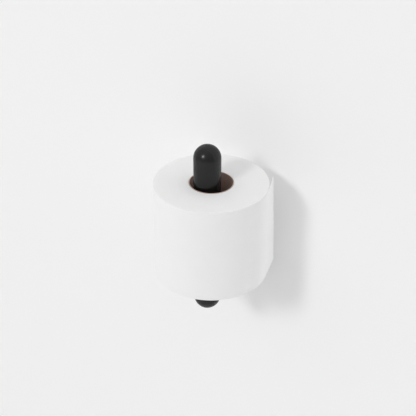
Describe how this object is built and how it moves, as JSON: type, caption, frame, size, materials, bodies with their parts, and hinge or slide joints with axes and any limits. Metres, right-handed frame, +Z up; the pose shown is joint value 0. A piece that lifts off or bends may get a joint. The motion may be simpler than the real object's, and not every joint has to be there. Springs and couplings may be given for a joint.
{
  "type": "toilet paper holder",
  "caption": "Wall-mounted toilet paper holder: an upright round-ended black pin on a short arm, with a white paper roll standing on a slip ring round it.",
  "frame": {"origin": "centre of the wall plate's back face, on the wall and level with the arm's axis", "axes": "+Z up along the pin, +Y into the wall, +X to the right as one faces the wall"},
  "size_m": [0.1141, 0.1297, 0.1877],
  "materials": {
    "coated_steel": "fine matte black powder coat",
    "zinc_steel": "bright zinc plate",
    "nylon": "natural moulded nylon",
    "rubber": "matte",
    "tissue_paper": "soft matte tissue",
    "cardboard": "unbleached spiral-wound board"
  },
  "bodies": {
    "holder": {"wall_plate": "zinc_steel", "wall_gasket": "rubber", "rosette": "coated_steel", "rosette_set_screw": "zinc_steel", "stud_washer": "zinc_steel", "stud_nut": "zinc_steel", "wall_stud": "zinc_steel", "arm": "coated_steel", "hub": "coated_steel", "hub_stud": "zinc_steel", "upper_pin": "coated_steel", "upper_plug": "zinc_steel", "upper_shim": "nylon", "lower_shim": "nylon", "lower_pin": "coated_steel", "lower_insert": "zinc_steel", "tie_rod": "zinc_steel", "seat_disc": "coated_steel"},
    "turning_ring": {"slip_ring": "nylon"},
    "roll": {"paper_roll": "tissue_paper", "cardboard_core": "cardboard", "loose_tail": "tissue_paper"}
  },
  "joints": [
    {"name": "roll_turn", "type": "hinge", "parent": "holder", "child": "turning_ring", "pos_m": [0, -0.078, 0.0154], "axis": [0, 0, 1], "continuous": true},
    {"name": "roll_lift", "type": "slide", "parent": "turning_ring", "child": "roll", "axis": [0, 0, 1], "range_m": [0, 0.16]}
  ]
}
